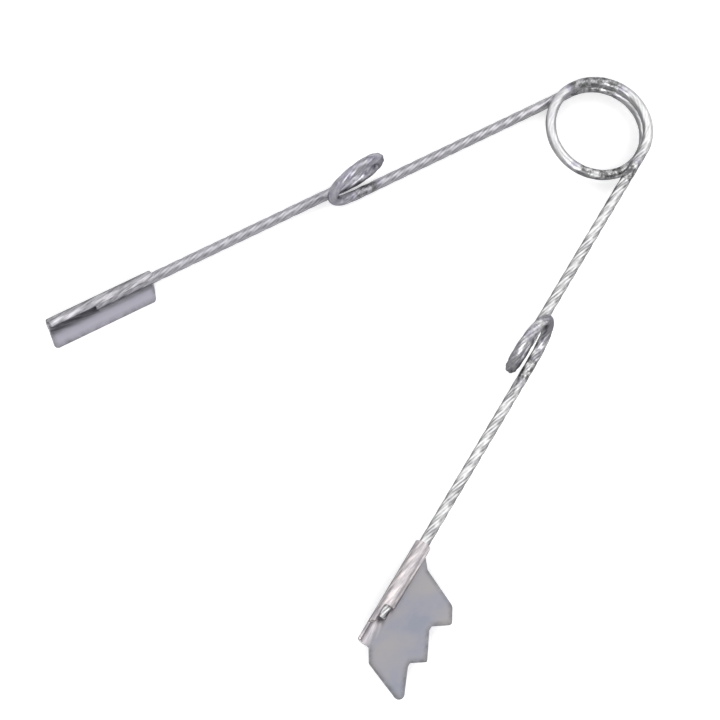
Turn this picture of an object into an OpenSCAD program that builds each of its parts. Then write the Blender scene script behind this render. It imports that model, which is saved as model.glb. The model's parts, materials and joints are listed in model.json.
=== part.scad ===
/* [Wire] */
// Diameter of the spring wire
wire_d = 2.0; // [1.6:0.1:2.4]
// Sides of the swept wire's cross-section
wire_sides = 20; // [12:2:28]

/* [Spring coil] */
// Mean diameter of the coil at the apex
coil_mean_d = 18.8; // [16:0.2:24]
// Rise of the coil in one full turn
coil_pitch = 2.4; // [2.4:0.1:3.4]
// Opening angle between the two arms at rest, degrees
opening_angle = 29.6; // [20:0.2:40]
// Rings in one full turn of the coil
coil_rings_per_turn = 44; // [24:4:60]

/* [Arms] */
// From the coil's tangent point to the foot of each eye
eye_station = 49.2; // [40:0.2:60]
// From the coil's tangent point to the start of each jaw
jaw_station = 91.2; // [80:0.2:100]
// Length of wire held inside the plain jaw's hem
wire_in_plain_jaw = 12; // [8:0.5:18]
// Length of wire held inside the toothed jaw's hem
wire_in_toothed_jaw = 16; // [8:0.5:18]

/* [Arm eyes] */
// Mean diameter of the upright one-turn eye
eye_mean_d = 11.0; // [9:0.2:14]
// Sideways step that the wire makes in one turn of the eye
eye_step = 2.4; // [2.2:0.1:4]
// Lean of the left arm's eye towards the middle of the V, degrees
left_eye_lean = -2; // [-10:1:10]
// Lean of the right arm's eye towards the middle of the V, degrees
right_eye_lean = 10; // [-10:1:12]
// Rings in one eye
eye_rings = 44; // [24:4:60]

/* [Jaws] */
// Thickness of the jaws' sheet metal
sheet_t = 0.5; // [0.4:0.05:0.9]
// Length of the rolled hem that grips the wire
hem_l = 21.4; // [18:0.2:26]
// Radial room between the wire and the inside of the hem
hem_room = 0.02; // [0:0.01:0.05]
// Height of the slit left open along the hem
hem_slit = 0.9; // [0.3:0.05:1.2]
// Round on the corners of the plates
corner_r = 0.7; // [0.3:0.1:1.2]

/* [Plain jaw] */
// From the wire's axis to the free edge of the plain flange
flange_w = 3.9; // [3.4:0.1:8]
// Sideways place of the hem's lip, which leaves the wire in sight
plain_lip = 0.5; // [-1:0.1:1.5]
// How far the flange's free edge starts past the hem's start
flange_start_skew = 1.1; // [0:0.1:1.5]
// How far the flange's free edge ends past the hem's end
flange_end_skew = 0.7; // [0:0.1:1.5]

/* [Toothed jaw] */
// Places of the three tooth tips along the hem
tip_stations = [9.6, 17.9, 27.5];
// From the wire's axis to the tooth tips
tip_reaches = [11.7, 11.2, 11.6];
// Rounds on the tooth tips: the last one is blunt
tip_rounds = [0.6, 0.25, 1.0];
// Places along the hem where the two notches start
notch_stations = [11.8, 19.7];
// From the wire's axis to the floors of the notches
notch_reach = 8.7; // [7:0.1:10]
// Length of the notches' floors
notch_l = 0.9; // [0.5:0.1:2]
// From the start of the hem to where the plate leaves it
plate_start = 1.0; // [0.4:0.2:4]
// Length of hem that is rolled shut over the wire, before it opens
hem_shut_l = 13.5; // [8:0.5:18]
// Sideways place of the hem's lip past the shut length
toothed_lip = -0.5; // [-1:0.1:1.5]
// Length of hem before it is trimmed to a low wall
hem_lip_l = 17.5; // [14:0.5:20]
// Height of that wall's top above the wire's axis
wall_top = 0.1; // [-0.5:0.1:1]

/* [Hidden] */
$fn = 96;

wire_r = wire_d / 2;
coil_r = coil_mean_d / 2;
eye_r = eye_mean_d / 2;
half_angle = opening_angle / 2;
coil_turns = (540 - opening_angle) / 360;
coil_rise = coil_pitch * coil_turns;
hem_ri = wire_r + hem_room;
hem_ro = hem_ri + sheet_t;
plate_sink = 0.01;
fillet_steps = 6;
cut = 1;

// side is -1 for the left arm (on -Y, at the coil's low end) and +1 for the
// right arm (on +Y, at its high end). Each arm is built along +X with its
// outward side on +Y for the right arm and on -Y for the left one.
function arm_z(side) = side * coil_rise / 2;

module on_arm(side) {
    translate([0, 0, arm_z(side)])
        rotate([0, 0, side * half_angle])
            translate([0, side * coil_r, 0])
                children();
}

// Lie a shape that was drawn along +Z down along the arm.
module along_arm(from) {
    translate([from, 0, 0]) rotate([0, 90, 0]) children();
}

// A tube of rings, each a list of wire_sides points in order round the wire.
module sweep(rings) {
    n = len(rings[0]);
    last = len(rings) - 1;
    points = [for (ring = rings) for (p = ring) p];
    walls = [for (i = [0 : last - 1]) for (j = [0 : n - 1])
        [i * n + j, i * n + (j + 1) % n, (i + 1) * n + (j + 1) % n, (i + 1) * n + j]];
    first_cap = [for (j = [n - 1 : -1 : 0]) j];
    last_cap = [for (j = [0 : n - 1]) last * n + j];
    polyhedron(points, concat([first_cap], walls, [last_cap]), convexity = 6);
}

// One ring of the wire, drawn in the plane of the two unit vectors a and b.
function wire_ring(centre, a, b) =
    [for (j = [0 : wire_sides - 1])
        let (t = 360 * j / wire_sides)
        centre + wire_r * (cos(t) * a + sin(t) * b)];

// The coil winds from the left arm's tangent point up to the right arm's,
// clockwise seen from above.
function coil_ring(s) =
    let (angle = -(90 + half_angle) - 360 * coil_turns * s,
         outward = [cos(angle), sin(angle), 0])
    wire_ring(coil_r * outward + [0, 0, coil_rise * (s - 0.5)], outward, [0, 0, 1]);

// The eye rises from the arm, turns back over it towards the coil, comes down
// and leaves one step farther out.
function eye_ring(side, lean, s) =
    let (t = 360 * s,
         up = [0, -side * sin(lean), cos(lean)],
         across = [0, side * cos(lean), sin(lean)],
         spoke = sin(t) * [1, 0, 0] - cos(t) * up,
         step = eye_step * (s - sin(t) / (2 * PI)))
    wire_ring([eye_station, side * step, 0] + eye_r * (up + spoke), spoke, -side * across);

// A polygon's corner a-b-c, rounded to radius r with a tangent arc, or left
// sharp where r is 0.
function rounded_corner(a, b, c, r) =
    r == 0 ? [b] :
    let (u = (a - b) / norm(a - b),
         v = (c - b) / norm(c - b),
         half = acos(u * v) / 2,
         centre = b + (u + v) / norm(u + v) * r / sin(half),
         from = b + u * r / tan(half) - centre,
         to = b + v * r / tan(half) - centre,
         a0 = atan2(from.y, from.x),
         turn = atan2(from.x * to.y - from.y * to.x, from * to))
    [for (i = [0 : fillet_steps])
        centre + r * [cos(a0 + turn * i / fillet_steps), sin(a0 + turn * i / fillet_steps)]];

// corners is a list of [x, y, r].
function rounded_outline(corners) =
    let (n = len(corners))
    [for (i = [0 : n - 1])
        let (p = corners[(i + n - 1) % n], q = corners[i], s = corners[(i + 1) % n])
        for (point = rounded_corner([p.x, p.y], [q.x, q.y], [s.x, s.y], q.z)) point];

// The hem rolled round the wire, drawn with the plate's side on +X and the
// plate at its bottom. The slit lies on the plate.
module hem_profile() {
    difference() {
        circle(hem_ro);
        circle(hem_ri);
        translate([0, -hem_ri]) square([hem_ro + cut, hem_slit]);
    }
}

// A hem along the arm, with its plate's side on +Y. Past x = from its lip is
// trimmed back to y = lip, so that it stands open there.
module hem(from, lip) {
    difference() {
        rotate([90, 0, 90]) linear_extrude(hem_l) hem_profile();
        translate([from, lip, -hem_ri])
            cube([hem_l + 2 * cut, hem_ro - lip + cut, 2 * hem_ro]);
    }
}

// A plate level with the hem's bottom, sunk a hair into it, so that the two
// join along a face and not along a line.
module plate() {
    translate([0, 0, plate_sink - hem_ro]) linear_extrude(sheet_t) children();
}

module plain_outline() {
    polygon(rounded_outline([
        [0, 0, 0],
        [hem_l, 0, 0],
        [hem_l + flange_end_skew, flange_w, corner_r],
        [flange_start_skew, flange_w, corner_r],
        [0, hem_ri, corner_r / 2]]));
}

module toothed_outline() {
    last = len(tip_stations) - 1;
    teeth = [for (i = [0 : last])
        each concat(
            [[tip_stations[i], tip_reaches[i], tip_rounds[i]]],
            i < last ? [[notch_stations[i], notch_reach, corner_r / 2],
                        [notch_stations[i] + notch_l, notch_reach, corner_r / 2]] : [])];
    polygon(rounded_outline(concat(
        [[hem_l, 0, 0],
         [plate_start, 0, 0],
         [plate_start + corner_r / 2, hem_ri + sheet_t, corner_r],
         [plate_start + hem_ro + corner_r, 2 * hem_ro, corner_r],
         [tip_stations[0] - 2 * hem_ro, notch_reach + 2 * corner_r, 2 * corner_r]],
        teeth,
        [[hem_l + hem_ri + hem_ro, hem_ro + 2 * sheet_t, corner_r],
         [hem_l, hem_ri, 0]])));
}

module wire_along(side, from, to, step) {
    on_arm(side)
        translate([0, side * step, 0])
            along_arm(from) cylinder(h = to - from, r = wire_r);
}

module coil() {
    n = ceil(coil_rings_per_turn * coil_turns);
    color("silver") sweep([for (i = [0 : n]) coil_ring(i / n)]);
}

module arm_eye(side, lean) {
    color("silver")
        on_arm(side)
            sweep([for (i = [0 : eye_rings]) eye_ring(side, lean, i / eye_rings)]);
}

module left_inner_arm() {
    color("silver") wire_along(-1, 0, eye_station, 0);
}

module left_eye() {
    arm_eye(-1, left_eye_lean);
}

module left_outer_arm() {
    color("silver") wire_along(-1, eye_station, jaw_station + wire_in_plain_jaw, eye_step);
}

module right_inner_arm() {
    color("silver") wire_along(1, 0, eye_station, 0);
}

module right_eye() {
    arm_eye(1, right_eye_lean);
}

module right_outer_arm() {
    color("silver") wire_along(1, eye_station, jaw_station + wire_in_toothed_jaw, eye_step);
}

// The plain jaw's flange points to the middle of the V, from the hem's bottom.
module plain_jaw() {
    color("lightgray")
        on_arm(-1)
            translate([jaw_station, -eye_step, 0]) {
                hem(-cut, plain_lip);
                plate() plain_outline();
            }
}

// The toothed jaw's plate points away from the V, from the hem's bottom.
module toothed_jaw() {
    color("lightgray")
        on_arm(1)
            translate([jaw_station, eye_step, 0]) {
                difference() {
                    hem(hem_shut_l, toothed_lip);
                    translate([hem_lip_l, -hem_ro - cut, wall_top]) cube([hem_l, hem_ro + cut, hem_ro]);
                }
                plate() toothed_outline();
            }
}

coil();
left_inner_arm();
left_eye();
left_outer_arm();
plain_jaw();
right_inner_arm();
right_eye();
right_outer_arm();
toothed_jaw();
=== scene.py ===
import json
import math
import random

import bpy
import bmesh
import numpy as np
from mathutils import Matrix, Vector
from mathutils.geometry import delaunay_2d_cdt


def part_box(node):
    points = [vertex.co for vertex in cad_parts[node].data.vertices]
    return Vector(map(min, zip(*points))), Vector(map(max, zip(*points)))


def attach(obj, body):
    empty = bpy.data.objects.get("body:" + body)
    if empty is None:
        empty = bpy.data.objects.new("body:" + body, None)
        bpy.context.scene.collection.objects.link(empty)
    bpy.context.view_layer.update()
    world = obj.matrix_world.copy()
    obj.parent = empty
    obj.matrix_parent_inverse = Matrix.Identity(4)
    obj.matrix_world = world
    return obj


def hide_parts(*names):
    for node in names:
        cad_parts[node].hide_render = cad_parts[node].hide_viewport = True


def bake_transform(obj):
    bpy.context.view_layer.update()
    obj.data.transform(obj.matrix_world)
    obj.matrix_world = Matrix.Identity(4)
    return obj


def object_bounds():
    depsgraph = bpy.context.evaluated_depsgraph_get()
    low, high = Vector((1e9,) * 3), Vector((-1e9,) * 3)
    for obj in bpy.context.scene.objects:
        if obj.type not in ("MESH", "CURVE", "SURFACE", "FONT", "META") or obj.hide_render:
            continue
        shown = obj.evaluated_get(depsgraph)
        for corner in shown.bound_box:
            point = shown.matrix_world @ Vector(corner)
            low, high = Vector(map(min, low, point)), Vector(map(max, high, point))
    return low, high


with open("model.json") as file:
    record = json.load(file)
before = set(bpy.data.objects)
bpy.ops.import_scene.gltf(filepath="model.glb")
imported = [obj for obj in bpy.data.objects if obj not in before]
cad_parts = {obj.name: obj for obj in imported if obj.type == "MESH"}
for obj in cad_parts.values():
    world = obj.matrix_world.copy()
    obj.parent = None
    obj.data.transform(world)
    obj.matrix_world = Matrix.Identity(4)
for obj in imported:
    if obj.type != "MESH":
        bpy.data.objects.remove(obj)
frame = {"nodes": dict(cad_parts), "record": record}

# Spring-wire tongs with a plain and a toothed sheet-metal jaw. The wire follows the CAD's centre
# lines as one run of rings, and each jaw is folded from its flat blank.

CAD_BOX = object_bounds()

MM = 0.001
TINY = 1e-6
UP = np.array([0.0, 0.0, 1.0])
random.seed(11)
PHASES = [random.uniform(0, 2 * math.pi) for _ in range(4)]

# ---------------------------------------------------------------- sizes
# The wire's path comes from the frame. These are the details that the frame leaves to the looks,
# in metres. A fade is a pair of places: the effect is nil at the first and full at the second.

RING_STEP = 0.32 * MM            # distance between rings along the wire
RING_SIDES = 40                  # points round the wire
MARK_STARTS = 5                  # helical marks side by side round the wire
MARK_LEAD = 15.6 * MM            # one mark's advance in a full turn
MARK_DEPTH = 0.12 * MM           # depth of the deepest marks
COIL_MARKS = 0.35                # share of that depth on the coil
MARK_FADE = 3.0 * MM             # either side of the coil's ends, where that share changes
MARK_FLIP = 4.0 * MM             # stretch of coil over which their hand changes
MARK_DRIFT = 0.35                # how unevenly they are spaced, in radians of one mark
DRIFT_WAVES = (2.3 * MM, 3.7 * MM)       # how quickly that changes along the wire
WEAR_WAVES = (1.9 * MM, 0.83 * MM)       # and how quickly their depth does
END_CHAMFER = 0.18 * MM          # on the wire's two cut ends

EYE_DULL = 0.72                  # how dull the bent eyes are, 0 to 1
EYE_FADE = (3.0 * MM, -2.0 * MM)         # outwards from the eye's ends
PAST_EYE = 2.5 * MM              # middle of the painted shadow, past the eye's last ring
PAST_EYE_FADE = (4.5 * MM, 1.5 * MM)     # from that middle
GRIP_WAY = (0.656, 0.755)        # across the coil, where the bending tool dulled it
GRIP_FADE = (5.5 * MM, 9.0 * MM)         # along that way, from the coil's axis
COIL_REACH = 12.0 * MM           # wire nearer than this to the coil's axis is the coil's

SHEET_T = 0.496 * MM             # jaws' sheet metal: the CAD's 0.5 mm, kept inside its box
HEM_ROOM = 0.02 * MM             # between the wire and its hem
RIM_BEVEL = 0.09 * MM
PLATE_BOW = 0.05 * MM            # how far the toothed plate is out of flat
BOW_ALONG = 5.0 * MM             # how quickly that changes along the hem
BOW_ACROSS = 9.0 * MM            # and out from it
CORNER_R = 0.7 * MM
TRIM_SLOPE = 0.4 * MM            # where the hem's lip steps back

# The hem's lip: how far along the hem it keeps each wrap round the wire, in degrees.
PLAIN_LIP = [(None, 204)]
TOOTHED_LIP = [(13.5 * MM, 268), (17.5 * MM, 156), (None, 95)]

FLANGE_W = 3.9 * MM              # from the wire's axis to the plain flange's edge
FLANGE_START_SKEW = 1.1 * MM     # how far its edge starts after the hem
FLANGE_END_SKEW = 0.7 * MM       # and runs on past it

# The teeth's tips: along the hem, out from it, and the tip's radius.
TIPS = [(9.6 * MM, 11.7 * MM, 0.6 * MM), (17.9 * MM, 11.2 * MM, 0.25 * MM),
        (27.5 * MM, 11.6 * MM, 1.0 * MM)]
NOTCH_STATIONS = [11.8 * MM, 19.7 * MM]      # where the notches' floors start
NOTCH_REACH = 8.7 * MM           # how far out they are
NOTCH_L = 0.9 * MM               # and how long
PLATE_START = 1.0 * MM           # bare hem before the plate

# How finely the blanks are meshed.
ARC_STEP = 0.12 * MM
EDGE_STEP = 0.22 * MM
ROLLED_ROW = 0.14 * MM           # rows of points where the sheet is rolled
FLAT_ROW = 0.5 * MM              # and where it stays flat
POINT_STEP = 0.4 * MM            # between the points of a row
EDGE_MARGIN = 0.10 * MM          # from a point to the blank's edge
ROLL_EDGE = 0.3 * MM             # the fine rows end this far past the roll

# Painted shade and painted light on the jaws, measured along the hem and out from the wire's axis.
PLAIN_SHADE_FADE = (11.2 * MM, 13.2 * MM)     # past the wire's end
SLIT_FADE = (1.5 * MM, 0.9 * MM)
LIP_FADE = (-0.2 * MM, 0.5 * MM)
PAINTED_BAND_L = 11.5 * MM             # the flange's painted light and the lip's painted shade reach as far as this
LIT_BAND_LINE = 0.80 * MM          # middle of the flange's band of painted light
TIP_SHADOW = (15.3 * MM, 0.95 * MM)            # middle of the painted shadow beside the wire's end
TIP_SHADOW_FADE = (2.0 * MM, 0.8 * MM)         # from that middle, along the hem
WALL_START = TOOTHED_LIP[1][0] - TRIM_SLOPE / 2      # the toothed hem's low wall
BAND_FADE = (0.5 * MM, 0.1 * MM)             # from the middle of a narrow band
RIM_FADE = (1.0 * MM, 0.1 * MM)  # in from the plate's outline

# Towards the plain arm the wire is greyer, the jaws take their other colours and the painted shade
# changes strength: full at the first y, gone at the second.
PLAIN_SIDE = (-20.0 * MM, 2.0 * MM)


# ---------------------------------------------------------------- frame
def corners(node):
    """A CAD node's vertices, each place once."""
    mesh = frame["nodes"][node].data
    points = np.array([v.co for v in mesh.vertices], float)
    return np.unique(np.round(points, 7), axis=0)


def straight_wire(node):
    """The two end centres of a straight wire node, the coil's end first."""
    points = corners(node)
    middle = points.mean(0)
    direction = np.linalg.svd(points - middle)[2][0]
    direction *= math.copysign(1, direction[0])
    reach = (points - middle) @ direction
    near, far = (points[abs(reach - r) < 100 * TINY].mean(0) for r in (reach.min(), reach.max()))
    return near, far


def unit(v):
    return v / np.linalg.norm(v)


def soft_step(value, start, end):
    """0 at the start, 1 at the end and a soft step between them."""
    t = np.clip((value - start) / (end - start), 0, 1)
    return t * t * (3 - 2 * t)


def mount(name):
    return next(m for m in frame["record"]["mounts"] if m["name"] == name)


low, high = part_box("left_inner_arm")
WIRE_R = (high.z - low.z) / 2


class Arm:
    """One arm's stations, read from its CAD nodes."""

    def __init__(self, name, side):
        self.tangent, self.eye_in = straight_wire(name + "_inner_arm")
        self.eye_out, self.wire_end = straight_wire(name + "_outer_arm")
        self.along = unit(self.eye_in - self.tangent)
        self.outward = side * np.cross(UP, self.along)
        self.lean = math.asin(mount(name + "_eye_hole")["axis"][2])
        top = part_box(name + "_eye")[1].z
        self.eye_r = (top - self.tangent[2] - WIRE_R) / (2 * math.cos(self.lean))

    def jaw_start(self, node):
        """Where the jaw's hem starts, on the wire's axis."""
        reach = (corners(node) - self.eye_out) @ self.along
        return self.eye_out + self.along * reach.min()

    def eye_point(self, turn):
        """The eye's centre line, from 0 at the coil's side to 1 at the jaw's."""
        t = 2 * math.pi * turn
        rise = math.cos(self.lean) * UP - math.sin(self.lean) * self.outward
        step = (self.eye_out - self.eye_in) * (turn - math.sin(t) / (2 * math.pi))
        return (self.eye_in + step
                + self.eye_r * (math.sin(t) * self.along + (1 - math.cos(t)) * rise))


LEFT = Arm("left", -1)
RIGHT = Arm("right", 1)

hem_reach = (corners("plain_jaw") - LEFT.jaw_start("plain_jaw")) @ LEFT.along
HEM_L = hem_reach.max() - FLANGE_END_SKEW


# ---------------------------------------------------------------- wire
def line_points(a, b):
    """The centres of the rings on a straight length."""
    n = max(2, round(np.linalg.norm(b - a) / RING_STEP))
    return [a + (b - a) * i / n for i in range(n + 1)]


def eye_points(arm):
    """The centres of the rings on an eye, the coil's side first."""
    n = round(2 * math.pi * arm.eye_r / RING_STEP)
    return [arm.eye_point(i / n) for i in range(n + 1)]


def coil_points():
    """Clockwise seen from above, from the left tangent point up to the right one."""
    a, b = LEFT.tangent, RIGHT.tangent
    r = math.hypot(a[0], a[1])
    from_angle, to_angle = math.atan2(a[1], a[0]), math.atan2(b[1], b[0])
    sweep = 2 * math.pi + (from_angle - to_angle) % (2 * math.pi)
    n = round(r * sweep / RING_STEP)
    return [np.array([r * math.cos(from_angle - sweep * i / n),
                      r * math.sin(from_angle - sweep * i / n),
                      a[2] + (b[2] - a[2]) * i / n]) for i in range(n + 1)]


def wire_sections():
    """The wire's centre line from the plain jaw to the toothed one, node by node."""
    return [
        ("left_outer_arm", line_points(LEFT.wire_end, LEFT.eye_out)),
        ("left_eye", eye_points(LEFT)[::-1]),
        ("left_inner_arm", line_points(LEFT.eye_in, LEFT.tangent)),
        ("coil", coil_points()),
        ("right_inner_arm", line_points(RIGHT.tangent, RIGHT.eye_in)),
        ("right_eye", eye_points(RIGHT)),
        ("right_outer_arm", line_points(RIGHT.eye_out, RIGHT.wire_end)),
    ]


def carried_frames(points):
    """At each point, two unit vectors across the line that turn with it and don't twist."""
    ahead = np.vstack([points[1:], 2 * points[-1] - points[-2]])
    behind = np.vstack([2 * points[0] - points[1], points[:-1]])
    tangents = ahead - behind
    tangents /= np.linalg.norm(tangents, axis=1)[:, None]
    across = np.empty_like(points)
    a = np.cross(tangents[0], UP)
    for i, t in enumerate(tangents):
        a = unit(a - (a @ t) * t)
        across[i] = a
    return across, np.cross(tangents, across)


def mark_run(station, middle):
    """How far the marks have run from the coil's middle, alike on both its sides."""
    return math.sqrt((station - middle) ** 2 + MARK_FLIP ** 2)


def mark_share(station, middle, coil_half):
    """1 on the arms, less on the coil, with a soft step between them."""
    on_coil = soft_step(abs(station - middle), coil_half + MARK_FADE, coil_half - MARK_FADE)
    return 1 - (1 - COIL_MARKS) * on_coil


def mark_groove(angle, station, middle, coil_half):
    """How deep the wire's helical marks are, 0 to 1. Their hand changes at the coil's middle."""
    run = mark_run(station, middle)
    drift = (MARK_DRIFT * math.sin(station / DRIFT_WAVES[0] + PHASES[0])
             * math.sin(station / DRIFT_WAVES[1] + PHASES[1]))
    turn = MARK_STARTS * (angle - 2 * math.pi * run / MARK_LEAD) + drift
    wear = (0.72 + 0.18 * math.sin(station / WEAR_WAVES[0] + PHASES[2])
            + 0.10 * math.sin(station / WEAR_WAVES[1] + 2 * angle + PHASES[3]))
    return abs(math.cos(turn / 2)) ** 3 * wear * mark_share(station, middle, coil_half)


def dullness_and_shadow(points, stations, spans):
    """The wire's dullness at each ring, 0 to 1: on the eyes and where the coil was gripped, with
    painted shadow just past each eye.
    """
    dull_and_shadow = np.zeros(len(points))
    for node in ("left_eye", "right_eye"):
        start, stop = spans[node]
        first, last = stations[start], stations[stop - 1]
        outwards = abs(stations - (first + last) / 2) - (last - first) / 2
        past = abs(stations - last - PAST_EYE)
        dull_and_shadow = np.maximum(dull_and_shadow, EYE_DULL * soft_step(outwards, *EYE_FADE))
        # Painted shadow on the arm just past the eye, where the loop leans over it.
        dull_and_shadow = np.maximum(dull_and_shadow, soft_step(past, *PAST_EYE_FADE))
    across = abs(points[:, 0] * GRIP_WAY[0] + points[:, 1] * GRIP_WAY[1])
    on_coil = np.linalg.norm(points[:, :2], axis=1) < COIL_REACH
    return np.maximum(dull_and_shadow, on_coil * soft_step(across, *GRIP_FADE))


def ring_normals(rings):
    """Outward unit normals at every point of the rings."""
    grid = np.array(rings)
    along = np.gradient(grid, axis=0)
    around = np.roll(grid, -1, axis=1) - np.roll(grid, 1, axis=1)
    normals = np.cross(around, along)
    return normals / np.linalg.norm(normals, axis=2)[:, :, None]


def new_mesh(name, verts, faces, uvs=None, smooth=None):
    """An object made from plain lists. Where smooth is given, it picks the smooth faces."""
    mesh = bpy.data.meshes.new(name)
    mesh.from_pydata([tuple(v) for v in verts], [], faces)
    mesh.update()
    for face in mesh.polygons:
        face.use_smooth = True if smooth is None else smooth(face)
    if uvs is not None:
        layer = mesh.uv_layers.new(name="UVMap")
        flat = [c for face in uvs for uv in face for c in uv]
        layer.data.foreach_set("uv", flat)
    obj = bpy.data.objects.new(name, mesh)
    bpy.context.scene.collection.objects.link(obj)
    return obj


def point_values(obj, name, values):
    """Keep one number for each vertex, for the material to read."""
    layer = obj.data.attributes.new(name, "FLOAT", "POINT")
    layer.data.foreach_set("value", values)


def wire_piece(name, rings, normals, stations, values, chamfer_first, chamfer_last):
    """A closed tube through its rings. A cut end of the wire gets a chamfer."""
    rings, normals, stations = list(rings), list(normals), list(stations)
    values = {key: list(numbers) for key, numbers in values.items()}
    flat = np.zeros((RING_SIDES, 3))
    for wanted, place in ((chamfer_first, 0), (chamfer_last, -1)):
        if not wanted:
            continue
        end, inner = rings[place], rings[1 if place == 0 else -2]
        centre = end.mean(0)
        inward = unit(inner.mean(0) - centre)
        small = centre + (end - centre) * (1 - END_CHAMFER / WIRE_R)
        rings[place] = end + inward * END_CHAMFER
        rings.insert(0 if place == 0 else len(rings), small)
        normals.insert(0 if place == 0 else len(normals), flat)
        stations.insert(0 if place == 0 else len(stations), stations[place])
        for numbers in values.values():
            numbers.insert(0 if place == 0 else len(numbers), numbers[place])
    n, last = RING_SIDES, len(rings) - 1
    verts = np.concatenate(rings)
    faces, uvs = [], []
    for i in range(last):
        for j in range(n):
            k = (j + 1) % n
            faces.append((i * n + j, i * n + k, (i + 1) * n + k, (i + 1) * n + j))
            u0, u1 = stations[i] / MARK_LEAD, stations[i + 1] / MARK_LEAD
            v0, v1 = j / n, (j + 1) / n
            uvs.append(((u0, v0), (u0, v1), (u1, v1), (u1, v0)))
    faces.append(tuple(range(n - 1, -1, -1)))
    faces.append(tuple(last * n + j for j in range(n)))
    for i in (0, last):
        uvs.append(((stations[i] / MARK_LEAD, 0.5),) * n)
    piece = new_mesh(name, verts, faces, uvs, lambda face: len(face.vertices) == 4)
    shading = np.concatenate(normals)
    loops = np.zeros((len(piece.data.loops), 3))
    for face in piece.data.polygons:
        if len(face.vertices) == 4:
            loops[list(face.loop_indices)] = shading[list(face.vertices)]
    piece.data.normals_split_custom_set(loops)
    for key, numbers in values.items():
        point_values(piece, key, np.repeat(numbers, RING_SIDES))
    return piece


def build_wire():
    """One piece for each wire node, cut from one continuous run of rings."""
    sections = wire_sections()
    points, spans = [sections[0][1][0]], {}
    for name, part in sections:
        start = len(points) - 1
        points.extend(part[1:])
        spans[name] = (start, len(points))
    points = np.array(points)
    steps = np.linalg.norm(np.diff(points, axis=0), axis=1)
    stations = np.concatenate([[0], np.cumsum(steps)])
    start, stop = spans["coil"]
    middle = (stations[start] + stations[stop - 1]) / 2
    coil_half = (stations[stop - 1] - stations[start]) / 2
    across, beside = carried_frames(points)
    rings = []
    for i, centre in enumerate(points):
        ring = []
        for j in range(RING_SIDES):
            angle = 2 * math.pi * j / RING_SIDES
            r = WIRE_R - MARK_DEPTH * mark_groove(angle, stations[i], middle, coil_half)
            ring.append(centre + r * (math.cos(angle) * across[i] + math.sin(angle) * beside[i]))
        rings.append(np.array(ring))
    normals = ring_normals(rings)
    values = {"dull_and_shadow": dullness_and_shadow(points, stations, spans),
              "marks": mark_share(stations, middle, coil_half)}
    pieces = {}
    for name, (start, stop) in spans.items():
        runs = [mark_run(station, middle) for station in stations[start:stop]]
        pieces[name] = wire_piece(name + "_wire", rings[start:stop], normals[start:stop], runs,
                                  {key: numbers[start:stop] for key, numbers in values.items()},
                                  start == 0, stop == len(points))
    return pieces


# ---------------------------------------------------------------- jaws
def rounded(points):
    """An outline of (x, y, radius) corners, with each corner rounded by an arc."""
    outline = []
    n = len(points)
    for i, (x, y, r) in enumerate(points):
        b = np.array([x, y])
        a = np.array(points[i - 1][:2])
        c = np.array(points[(i + 1) % n][:2])
        if r == 0:
            outline.append(b)
            continue
        u, v = unit(a - b), unit(c - b)
        half = math.acos(np.clip(u @ v, -1, 1)) / 2
        centre = b + unit(u + v) * r / math.sin(half)
        start = b + u * r / math.tan(half) - centre
        end = b + v * r / math.tan(half) - centre
        a0 = math.atan2(start[1], start[0])
        turn = math.atan2(start[0] * end[1] - start[1] * end[0], start @ end)
        count = max(3, round(abs(turn) * r / ARC_STEP))
        outline += [centre + r * np.array([math.cos(a0 + turn * k / count),
                                           math.sin(a0 + turn * k / count)])
                    for k in range(count + 1)]
    return outline


def lip_outline(steps, hem_l, mid_r):
    """The blank's edge that becomes the hem's lip, from the tip back to the coil's side."""
    edge, small, previous = [], CORNER_R / 2, 0
    for until, wrap in steps:
        depth = -mid_r * math.radians(wrap)
        end = hem_l if until is None else until - TRIM_SLOPE / 2
        start = previous + TRIM_SLOPE if edge else 0
        edge += [(start, depth, small), (end, depth, small)]
        previous = end
    return edge[::-1]


def plain_blank(hem_l, mid_r):
    """The plain jaw's outline: a flange on one side of the hem and its lip on the other."""
    return rounded([
        (0, mid_r - SHEET_T / 2, CORNER_R / 2),
        (FLANGE_START_SKEW, FLANGE_W, CORNER_R),
        (hem_l + FLANGE_END_SKEW, FLANGE_W, CORNER_R),
        (hem_l, 0, 0),
    ] + lip_outline(PLAIN_LIP, hem_l, mid_r))


def toothed_blank(hem_l, mid_r):
    """The toothed jaw's outline: a raked plate on one side of the hem and its lip on the other."""
    hem_ri = mid_r - SHEET_T / 2
    hem_ro = mid_r + SHEET_T / 2
    teeth = []
    for i, tip in enumerate(TIPS):
        teeth.append(tip)
        if i < len(NOTCH_STATIONS):
            for x in (NOTCH_STATIONS[i], NOTCH_STATIONS[i] + NOTCH_L):
                teeth.append((x, NOTCH_REACH, CORNER_R / 2))
    return rounded([
        (0, 0, 0),
        (PLATE_START, 0, CORNER_R / 2),
        (PLATE_START + CORNER_R / 2, hem_ro, CORNER_R),
        (PLATE_START + hem_ro + CORNER_R, 2 * hem_ro, CORNER_R),
        (TIPS[0][0] - 2 * hem_ro, NOTCH_REACH + 2 * CORNER_R, 2 * CORNER_R),
    ] + teeth + [
        (hem_l + hem_ri + hem_ro, hem_ro + 2 * SHEET_T, CORNER_R),
        (hem_l, hem_ri, CORNER_R / 2),
    ] + lip_outline(TOOTHED_LIP, hem_l, mid_r))


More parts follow.
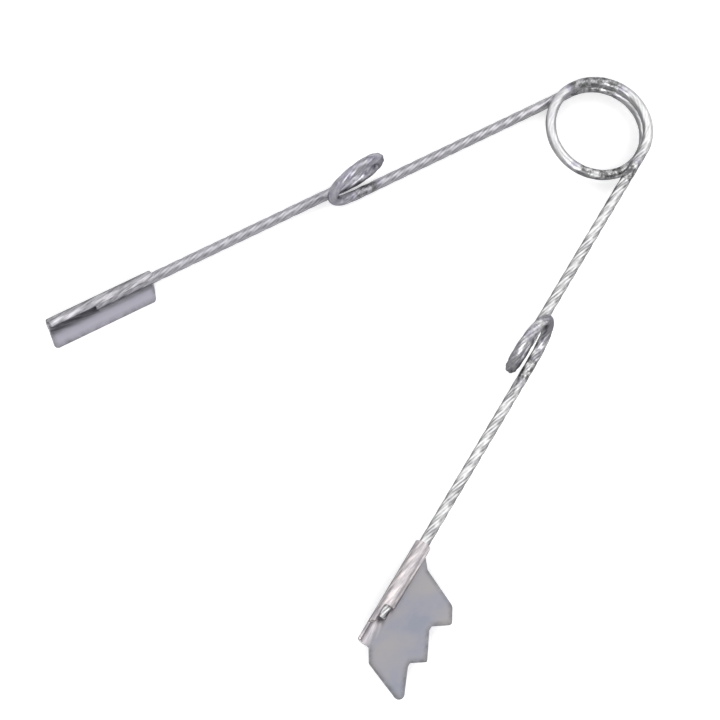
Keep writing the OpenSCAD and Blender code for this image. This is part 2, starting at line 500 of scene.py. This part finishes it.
def inside(point, outline, margin):
    """Whether a point is in the outline and at least margin from its edge."""
    a = outline
    b = np.roll(outline, -1, axis=0)
    crossing = (a[:, 1] > point[1]) != (b[:, 1] > point[1])
    rise = np.where(b[:, 1] == a[:, 1], TINY, b[:, 1] - a[:, 1])
    at = a[:, 0] + (point[1] - a[:, 1]) * (b[:, 0] - a[:, 0]) / rise
    if np.count_nonzero(crossing & (at > point[0])) % 2 == 0:
        return False
    ab = b - a
    t = np.clip(((point - a) * ab).sum(1) / np.maximum((ab * ab).sum(1), TINY ** 2), 0, 1)
    return np.linalg.norm(a + ab * t[:, None] - point, axis=1).min() > margin


def finely(outline, step):
    """The outline with its long edges cut into steps."""
    fine = []
    for a, b in zip(outline, outline[1:] + outline[:1]):
        n = max(1, round(np.linalg.norm(b - a) / step))
        fine += [a + (b - a) * k / n for k in range(n)]
    return np.array(fine)


def blank_mesh(outline):
    """The flat blank as points and triangles, with finer rows where it will be rolled."""
    edge = finely(outline, EDGE_STEP)
    gaps = np.linalg.norm(edge - np.roll(edge, 1, axis=0), axis=1)
    edge = edge[gaps > 20 * TINY]
    low_corner, high_corner = edge.min(0), edge.max(0)
    rows = list(np.arange(low_corner[1], ROLL_EDGE, ROLLED_ROW))
    rows += list(np.arange(ROLL_EDGE, high_corner[1], FLAT_ROW))
    inner = []
    for k, y in enumerate(rows):
        first = low_corner[0] + (k % 2) * POINT_STEP / 2
        inner += [np.array([x, y]) for x in np.arange(first, high_corner[0], POINT_STEP)]
    inner = [p for p in inner if inside(p, edge, EDGE_MARGIN)]
    points = [Vector(p) for p in list(edge) + inner]
    ring = [(i, (i + 1) % len(edge)) for i in range(len(edge))]
    verts, _, faces, *_ = delaunay_2d_cdt(points, ring, [], 1, TINY * 0.01)
    return np.array([tuple(v) for v in verts]), [tuple(f) for f in faces]


def fold(flat, mid_r, bow):
    """The blank's (x, y) bent: y below 0 rolls round the wire, from under it and over the top."""
    x, y = flat[:, 0], flat[:, 1]
    wrap = np.where(y < 0, -y / mid_r, 0.0)
    angle = -math.pi / 2 - wrap
    side = np.where(y < 0, mid_r * np.cos(angle), y)
    z = np.where(y < 0, mid_r * np.sin(angle), -mid_r)
    z = z + np.where(y > 0, bow * np.sin(y / BOW_ACROSS) * np.sin(x / BOW_ALONG + 1), 0)
    return np.column_stack([x, side, z])


def edge_distance(points, outline):
    """How far each point is from the outline's edge."""
    a = np.array(outline)
    ab = np.roll(a, -1, axis=0) - a
    length = np.maximum((ab * ab).sum(1), TINY ** 2)
    gap = points[:, None] - a[None]
    t = np.clip((gap * ab[None]).sum(2) / length, 0, 1)
    return np.linalg.norm(gap - t[:, :, None] * ab[None], axis=2).min(1)


def plain_painted_shade(x, side, z, mid_r):
    """Painted shade in the empty outer end of the plain jaw's hem, in its slit and along its lip."""
    radius = np.hypot(side, z)
    in_roll = radius < mid_r
    on_flange = (side > 0) & (z > -mid_r) & (z < 0)
    band = np.where(on_flange, soft_step(side, *SLIT_FADE), in_roll)
    lip = (z > 0) & (radius > mid_r) & (x < PAINTED_BAND_L)
    return np.maximum(band * soft_step(x, *PLAIN_SHADE_FADE),
                      0.6 * lip * soft_step(side, *LIP_FADE))


def toothed_painted_shade(x, side, z, mid_r):
    """Painted shadow beside the wire's tip in the toothed jaw's hem, and painted shade on the rim of
    its low wall.
    """
    on_plate = (z > -mid_r) & (z < 0)
    band = soft_step(abs(side - TIP_SHADOW[1]), *BAND_FADE)
    by_wire = 0.6 * on_plate * band * soft_step(abs(x - TIP_SHADOW[0]), *TIP_SHADOW_FADE)
    on_rim = (side < 0) & (z > -SHEET_T / 2) & (x > WALL_START)
    return np.maximum(by_wire, 0.8 * on_rim)


def plain_painted_light(x, side, z, mid_r):
    """Painted light: a band on the flange along the wire is painted bright."""
    on_flange = (side > 0) & (z > -mid_r) & (z < 0)
    band = soft_step(abs(side - LIT_BAND_LINE), *BAND_FADE)
    return 0.7 * on_flange * band * (x < PAINTED_BAND_L)


def toothed_painted_light(x, side, z, mid_r):
    """Painted light: the inside of the toothed jaw's low wall is painted bright."""
    return 0.3 * ((side < 0) & (np.hypot(side, z) < mid_r) & (x > WALL_START))


def apply_modifiers(obj):
    """Turn the object's modifiers into mesh."""
    depsgraph = bpy.context.evaluated_depsgraph_get()
    mesh = bpy.data.meshes.new_from_object(obj.evaluated_get(depsgraph))
    obj.modifiers.clear()
    obj.data = mesh


def recalculate(obj):
    """Turn all faces outwards and shade them smooth."""
    bm = bmesh.new()
    bm.from_mesh(obj.data)
    bmesh.ops.recalc_face_normals(bm, faces=bm.faces)
    bm.to_mesh(obj.data)
    bm.free()
    for face in obj.data.polygons:
        face.use_smooth = True


def sheet_jaw(name, arm, node, blank, plate_way, bow, painted_shade, shine):
    """A jaw folded from its flat blank, with its real thickness and broken edges."""
    mid_r = WIRE_R + HEM_ROOM + SHEET_T / 2
    start = arm.jaw_start(node)
    outline = blank(HEM_L, mid_r)
    flat, faces = blank_mesh(outline)
    bent = fold(flat, mid_r, bow)
    sideways = plate_way * arm.outward
    verts = start + bent[:, :1] * arm.along + bent[:, 1:2] * sideways + bent[:, 2:] * UP
    flat_uvs = flat * (plate_way, 1) / (10 * MM)
    uvs = [[tuple(flat_uvs[i]) for i in face] for face in faces]
    jaw = new_mesh(name, verts, faces, uvs)
    shell = jaw.modifiers.new("thickness", "SOLIDIFY")
    shell.thickness = SHEET_T
    shell.offset = 0
    shell.use_even_offset = True
    bevel = jaw.modifiers.new("broken_edges", "BEVEL")
    bevel.width = RIM_BEVEL
    bevel.segments = 2
    bevel.limit_method = "ANGLE"
    bevel.angle_limit = math.radians(50)
    bevel.harden_normals = False
    apply_modifiers(jaw)
    recalculate(jaw)
    jaw.data.set_sharp_from_angle(angle=math.radians(40))
    made = np.array([v.co for v in jaw.data.vertices]) - start
    x, side, z = made @ arm.along, made @ sideways, made[:, 2]
    on_plate = side > mid_r
    rim = on_plate * soft_step(edge_distance(np.column_stack([x, side]), outline), *RIM_FADE)
    inner = soft_step(np.hypot(side, z), mid_r + SHEET_T / 10, mid_r - SHEET_T / 10)
    # Painted shade and painted light, kept for the material to read.
    point_values(jaw, "painted_shade", painted_shade(x, side, z, mid_r))
    point_values(jaw, "rim", rim)
    point_values(jaw, "shine", shine(x, side, z, mid_r))
    point_values(jaw, "inner", inner)
    return jaw


# ---------------------------------------------------------------- materials
class Nodes:
    """A small helper to build a material's node tree."""

    def __init__(self, name):
        self.material = bpy.data.materials.new(name)
        self.material.use_nodes = True
        self.tree = self.material.node_tree
        self.shader = self.tree.nodes["Principled BSDF"]

    def add(self, kind, **values):
        node = self.tree.nodes.new(kind)
        for key, value in values.items():
            if key in node.inputs:
                node.inputs[key].default_value = value
            else:
                setattr(node, key, value)
        return node

    def link(self, source, output, target, socket):
        """Link an output to a socket. Where outputs share a name, the socket's type decides."""
        kind = target.inputs[socket].type
        same = [s for s in source.outputs if s.name == output and s.type == kind]
        self.tree.links.new(same[0] if same else source.outputs[output], target.inputs[socket])

    def coordinates(self, kind, scale, turn=None):
        """Scaled coordinates. With a turn, the scale is the size of things that lie turned."""
        place = self.add("ShaderNodeTexCoord")
        mapping = self.add("ShaderNodeMapping", Scale=scale)
        if turn is not None:
            mapping.vector_type = "TEXTURE"
            mapping.inputs["Rotation"].default_value = (0, 0, turn)
        self.link(place, kind, mapping, "Vector")
        return mapping

    def noise(self, place, scale, detail, roughness=0.5, distortion=0.0):
        node = self.add("ShaderNodeTexNoise", Scale=scale, Detail=detail,
                        Roughness=roughness, Distortion=distortion)
        self.link(place, "Vector", node, "Vector")
        return node

    def math(self, operation, source, output, other=None, other_output=None):
        """A sum on an output, with a number or with another node's output."""
        node = self.add("ShaderNodeMath", operation=operation)
        self.tree.links.new(source.outputs[output], node.inputs[0])
        if other_output is not None:
            self.tree.links.new(other.outputs[other_output], node.inputs[1])
        elif other is not None:
            node.inputs[1].default_value = other
        return node

    def blend_colours(self, factor, factor_output, source, output, other, other_output):
        """Two colours, mixed by the factor."""
        node = self.add("ShaderNodeMix", data_type="RGBA")
        self.tree.links.new(factor.outputs[factor_output], node.inputs["Factor"])
        first, second = [s for s in node.inputs if s.type == "RGBA"]
        self.tree.links.new(self.colour_output(source, output), first)
        if isinstance(other, tuple):
            second.default_value = (*other, 1)
        else:
            self.tree.links.new(self.colour_output(other, other_output), second)
        return node

    def mix(self, factor, factor_output, source, output, colour):
        """The source's colour, mixed with a plain colour by the factor."""
        return self.blend_colours(factor, factor_output, source, output, colour, None)

    def values(self, name):
        """One of the numbers kept by point_values."""
        return self.add("ShaderNodeAttribute", attribute_name=name)

    def turned_down(self, strength, down, up):
        """Painted shade: the strength where a surface faces sideways or down, going to 0 where it
        faces up.
        """
        split = self.add("ShaderNodeSeparateXYZ")
        self.link(self.add("ShaderNodeTexCoord"), "Normal", split, "Vector")
        node = self.to_range(split, "Z", strength, 0.0, down, up)
        node.interpolation_type = "SMOOTHSTEP"
        return node

    def position(self, solid, axis, start, end):
        """A value that goes from 1 to 0 between two places along an axis."""
        split = self.add("ShaderNodeSeparateXYZ")
        self.link(solid, "Vector", split, "Vector")
        return self.to_range(split, axis, 1.0, 0.0, start, end)

    def colour_output(self, source, output):
        """The source's output of that name that carries a colour."""
        return next(s for s in source.outputs if s.name == output and s.type == "RGBA")

    def ramp(self, source, output, stops):
        """A colour for each value: the stops are places from 0 to 1 with their colours."""
        node = self.add("ShaderNodeValToRGB")
        elements = node.color_ramp.elements
        while len(elements) < len(stops):
            elements.new(0.5)
        for element, (position, colour) in zip(elements, stops):
            element.position = position
            element.color = (*colour, 1)
        self.link(source, output, node, "Fac")
        return node

    def to_range(self, source, output, low_value, high_value, start=0.0, end=1.0):
        """From the low value where the output is at the start to the high one at the end."""
        node = self.add("ShaderNodeMapRange")
        node.inputs["From Min"].default_value = start
        node.inputs["From Max"].default_value = end
        node.inputs["To Min"].default_value = low_value
        node.inputs["To Max"].default_value = high_value
        self.link(source, output, node, "Value")
        return node

    def bump(self, source, output, strength, distance, before=None):
        node = self.add("ShaderNodeBump", Strength=strength, Distance=distance)
        self.link(source, output, node, "Height")
        if before is not None:
            self.link(before, "Normal", node, "Normal")
        return node


def bare_metal(name):
    """Plain metal, with less shine at grazing angles."""
    m = Nodes(name)
    m.shader.inputs["Metallic"].default_value = 1.0
    m.shader.inputs["Specular Tint"].default_value = (0.45, 0.45, 0.47, 1)
    return m


def wire_material():
    """Plated spring wire: streaks along its helical marks, which are dulled, dulled spots, and painted
    shade and shadow.
    """
    m = bare_metal("plated_spring_wire")
    # These coordinates turn with the helical marks. The UV map's x counts the marks' turns, and
    # its y goes once round the wire.
    split = m.add("ShaderNodeSeparateXYZ")
    m.link(m.add("ShaderNodeTexCoord"), "UV", split, "Vector")
    helix = m.math("SUBTRACT", split, "Y", split, "X")
    angle = m.math("MULTIPLY", helix, "Value", 2 * math.pi)
    round_wire = m.add("ShaderNodeCombineXYZ")
    m.link(m.math("COSINE", angle, "Value"), "Value", round_wire, "X")
    m.link(m.math("SINE", angle, "Value"), "Value", round_wire, "Y")
    m.link(m.math("MULTIPLY", split, "X", 4.0), "Value", round_wire, "Z")
    # Streaks along the marks, the marks' own grooves, and spots.
    lines = m.noise(round_wire, 5.0, 4.0, 0.6)
    wave = m.math("COSINE", m.math("MULTIPLY", angle, "Value", MARK_STARTS), "Value")
    groove = m.math("POWER", m.math("ABSOLUTE", wave, "Value"), "Value", 2.5)
    solid = m.coordinates("Object", (1, 1, 1))
    blotches = m.noise(solid, 330.0, 4.0, 0.65)
    specks = m.noise(solid, 1500.0, 2.0)
    # The wire is greyer towards the plain arm, and dulled where it was bent and gripped, with painted
    # shadow on the arms just past the eyes.
    clean = m.ramp(blotches, "Fac", [(0.30, (0.64, 0.64, 0.64)), (0.46, (0.80, 0.80, 0.80)),
                                     (0.66, (0.95, 0.95, 0.94))])
    plain_side = m.position(solid, "Y", *PLAIN_SIDE)
    greyer_to_plain_arm = m.mix(m.math("MULTIPLY", plain_side, "Result", 0.75), "Value", clean, "Color",
                 (0.46, 0.45, 0.50))
    grains = m.to_range(m.noise(solid, 900.0, 3.0, 0.7), "Fac", 0.0, 1.3, 0.40, 0.62)
    dull_and_shadow = m.math("MULTIPLY", m.values("dull_and_shadow"), "Fac", grains, "Result")
    # Tarnish where the eyes were bent, going near-black where the wire is most dulled and in the
    # painted shadow.
    tarnish_and_shadow = m.ramp(m.values("dull_and_shadow"), "Fac", [(0.74, (0.40, 0.38, 0.47)), (0.90, (0.18, 0.18, 0.18))])
    dulled = m.blend_colours(dull_and_shadow, "Value", greyer_to_plain_arm, "Result", tarnish_and_shadow, "Color")
    # Broken lines of dirt lie in the grooves. Painted shade darkens the wire's sides and lower side,
    # less on the plain arm.
    broken = m.to_range(m.noise(solid, 420.0, 2.0), "Fac", 0.1, 1.0, 0.36, 0.60)
    depth = m.math("MULTIPLY", m.to_range(plain_side, "Result", 0.85, 0.50), "Result",
                   m.values("marks"), "Fac")
    dirt = m.math("MULTIPLY", m.math("MULTIPLY", groove, "Value", broken, "Result"), "Value",
                  depth, "Value")
    worn = m.mix(dirt, "Value", dulled, "Result", (0.16, 0.16, 0.17))
    shade = m.math("MULTIPLY", m.turned_down(0.80, 0.35, 0.91), "Result",
                   m.to_range(plain_side, "Result", 1.0, 0.62), "Result")
    shaded = m.mix(shade, "Value", worn, "Result", (0.10, 0.10, 0.105))
    m.link(shaded, "Result", m.shader, "Base Color")
    rough = m.to_range(lines, "Fac", 0.22, 0.48)
    m.link(rough, "Result", m.shader, "Roughness")
    fine = m.bump(lines, "Fac", 0.5, 0.00005)
    coarse = m.bump(specks, "Fac", 0.12, 0.00003, fine)
    m.link(coarse, "Normal", m.shader, "Normal")
    return m.material


def sheet_material():
    """Plated sheet: cloudy plates, streaked hems, and painted highlight, painted shade and painted
    light.
    """
    m = bare_metal("plated_sheet")
    # The UV map is the flat blank, in centimetres. Streaks run over the hems at a slant.
    grain = m.noise(m.coordinates("UV", (0.9, 16.0, 1.0)), 6.0, 5.0, 0.6)
    slant = m.coordinates("UV", (0.42, 0.052, 1.0), math.radians(9))
    streaks = m.noise(slant, 1.0, 3.0, 0.6)
    solid = m.coordinates("Object", (1, 1, 1))
    clouds = m.noise(solid, 130.0, 3.0, 0.55, 0.4)
    specks = m.noise(solid, 2200.0, 2.0)
    # Each jaw's plate has its own colour. Hem streaks: darker on the plain jaw, painted pinkish
    # highlight on the toothed one.
    cloudy = m.ramp(clouds, "Fac", [(0.30, (0.28, 0.295, 0.345)), (0.46, (0.32, 0.32, 0.36)),
                                    (0.59, (0.345, 0.335, 0.35)), (0.76, (0.365, 0.35, 0.345))])
    bright = m.ramp(streaks, "Fac", [(0.34, (0.42, 0.40, 0.42)), (0.50, (0.62, 0.58, 0.59)),
                                     (0.66, (0.97, 0.88, 0.87))])
    plain_side = m.position(solid, "Y", *PLAIN_SIDE)
    plate = m.mix(plain_side, "Result", cloudy, "Color", (0.385, 0.375, 0.43))
    dark = m.ramp(streaks, "Fac", [(0.37, (0.26, 0.26, 0.28)), (0.50, (0.52, 0.51, 0.54)),
                                   (0.63, (0.80, 0.79, 0.82))])
    rolled = m.blend_colours(plain_side, "Result", bright, "Color", dark, "Color")
    # Painted shade darkens the hems' far walls where they face sideways or down, and their outer
    # edges.
    outside = m.to_range(m.values("inner"), "Fac", 1.0, 0.0)
    flat = m.coordinates("UV", (1, 1, 1))
    far_wall = m.math("MULTIPLY", outside, "Result", m.position(flat, "Y", -0.42, -0.50), "Result")
    turned = m.math("MULTIPLY", m.turned_down(0.60, -0.1, 0.85), "Result", far_wall, "Value")
    lit = m.mix(turned, "Value", rolled, "Result", (0.05, 0.05, 0.05))
    painted_edge_shade = m.math("MULTIPLY", m.position(flat, "Y", -0.28, -0.375), "Result",
                       m.to_range(streaks, "Fac", 0.95, 0.25), "Result")
    by_side = m.math("MULTIPLY", outside, "Result",
                     m.to_range(plain_side, "Result", 0.55, 1.0), "Result")
    outer_edge = m.math("MULTIPLY", painted_edge_shade, "Value", by_side, "Value")
    shaded = m.mix(outer_edge, "Value", lit, "Result", (0.06, 0.06, 0.06))
    on_hem = m.position(flat, "Y", -0.06, 0.18)
    both = m.blend_colours(on_hem, "Result", plate, "Result", shaded, "Result")
    # Last come the plates' rims, the painted light and the painted shade.
    edge_grain = m.to_range(m.noise(solid, 650.0, 3.0, 0.7), "Fac", -0.35, 1.35)
    edge = m.math("MULTIPLY", m.values("rim"), "Fac", edge_grain, "Result")
    with_painted_light = m.mix(m.values("shine"), "Fac", both, "Result", (0.86, 0.84, 0.88))
    edged = m.mix(edge, "Value", with_painted_light, "Result", (0.14, 0.14, 0.14))
    # Painted shade, broken up by the streaks.
    painted_shade = m.math("MULTIPLY", m.values("painted_shade"), "Fac",
                   m.to_range(streaks, "Fac", 0.95, -0.35), "Result")
    with_painted_shade = m.mix(painted_shade, "Value", edged, "Result", (0.06, 0.06, 0.065))
    m.link(with_painted_shade, "Result", m.shader, "Base Color")
    rough = m.to_range(grain, "Fac", 0.30, 0.50)
    m.link(rough, "Result", m.shader, "Roughness")
    fine = m.bump(grain, "Fac", 0.12, 0.00003)
    coarse = m.bump(specks, "Fac", 0.10, 0.00002, fine)
    m.link(coarse, "Normal", m.shader, "Normal")
    return m.material


def floor_material():
    """A matt floor, pale enough to look white."""
    m = Nodes("pale_floor")
    m.shader.inputs["Roughness"].default_value = 0.9
    m.shader.inputs["Specular IOR Level"].default_value = 0.1
    m.shader.inputs["Base Color"].default_value = (0.94, 0.94, 0.94, 1)
    m.shader.inputs["Emission Color"].default_value = (1, 1, 1, 1)
    m.shader.inputs["Emission Strength"].default_value = 0.30
    return m.material


# ---------------------------------------------------------------- object
wire_finish = wire_material()
sheet_finish = sheet_material()
body_of_node = {node: body for body, nodes in frame["record"]["behaviour"]["bodies"].items()
                for node in nodes}

for node, piece in build_wire().items():
    piece.data.materials.append(wire_finish)
    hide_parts(node)
    if node == "coil":
        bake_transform(piece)
    else:
        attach(piece, body_of_node[node])

plain = sheet_jaw("plain_jaw_sheet", LEFT, "plain_jaw", plain_blank, -1, 0, plain_painted_shade,
                  plain_painted_light)
toothed = sheet_jaw("toothed_jaw_sheet", RIGHT, "toothed_jaw", toothed_blank, 1, PLATE_BOW,
                    toothed_painted_shade, toothed_painted_light)
for piece, node in ((plain, "plain_jaw"), (toothed, "toothed_jaw")):
    piece.data.materials.append(sheet_finish)
    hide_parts(node)
    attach(piece, body_of_node[node])


# ---------------------------------------------------------------- camera
# The camera looks down on the tool from over the jaws. The turns bring the tool's axes to the
# camera's, and the shift puts the tool's middle in the picture's.
CAMERA_ROLL = math.radians(221.44)
CAMERA_TILT = math.radians(-19.50)
CAMERA_PAN = math.radians(11.67)
CAMERA_SHIFT = (45.43 * MM, 44.09 * MM)
CAMERA_DISTANCE = 572.3 * MM
CAMERA_LENS = 150.0

turn = (Matrix.Rotation(CAMERA_PAN, 3, "Y") @ Matrix.Rotation(CAMERA_TILT, 3, "X")
        @ Matrix.Rotation(CAMERA_ROLL, 3, "Z")).transposed()
camera_data = bpy.data.cameras.new("camera")
camera_data.lens = CAMERA_LENS
camera_data.sensor_width = 36.0
camera_data.clip_start = 0.01
camera_data.clip_end = 20.0
camera = bpy.data.objects.new("camera", camera_data)
place = turn @ Vector((-CAMERA_SHIFT[0], -CAMERA_SHIFT[1], CAMERA_DISTANCE))
camera.matrix_world = Matrix.Translation(place) @ turn.to_4x4()
bpy.context.scene.collection.objects.link(camera)
bpy.context.scene.camera = camera


# ---------------------------------------------------------------- stage and light
def floor():
    """A square floor, level with the tool's lowest point."""
    half = 3.0
    z = CAD_BOX[0].z
    verts = [(x * half, y * half, z) for x, y in ((-1, -1), (1, -1), (1, 1), (-1, 1))]
    obj = new_mesh("floor", verts, [(0, 1, 2, 3)])
    obj.data.materials.append(floor_material())


def softbox(name, azimuth, elevation, distance, size, power):
    """A square light that looks at the tool's middle from an azimuth and elevation in degrees."""
    low_corner, high_corner = CAD_BOX
    middle = (low_corner + high_corner) / 2
    a, e = math.radians(azimuth), math.radians(elevation)
    way = Vector((math.cos(e) * math.cos(a), math.cos(e) * math.sin(a), math.sin(e)))
    light = bpy.data.lights.new(name, "AREA")
    light.shape = "RECTANGLE"
    light.size, light.size_y = size
    light.energy = power
    obj = bpy.data.objects.new(name, light)
    obj.location = middle + way * distance
    obj.rotation_euler = way.to_track_quat("Z", "Y").to_euler()
    bpy.context.scene.collection.objects.link(obj)


def sky():
    """A soft grey surround."""
    world = bpy.data.worlds.new("studio")
    world.use_nodes = True
    bpy.context.scene.world = world
    tree = world.node_tree
    place = tree.nodes.new("ShaderNodeTexCoord")
    split = tree.nodes.new("ShaderNodeSeparateXYZ")
    ramp = tree.nodes.new("ShaderNodeValToRGB")
    low_sky, high_sky = ramp.color_ramp.elements
    low_sky.color = (0.48, 0.48, 0.49, 1)
    high_sky.color = (0.50, 0.50, 0.51, 1)
    tree.links.new(place.outputs["Generated"], split.inputs["Vector"])
    tree.links.new(split.outputs["Z"], ramp.inputs["Fac"])
    tree.links.new(ramp.outputs["Color"], tree.nodes["Background"].inputs["Color"])


floor()
sky()
softbox("back_window", 165, 55, 1.5, (1.6, 1.6), 7.5)
softbox("side_window", -80, 45, 1.5, (1.6, 1.6), 7.0)
softbox("front_lamp", 30, 40, 1.5, (1.2, 1.2), 12)
bpy.context.scene.view_settings.view_transform = "Standard"
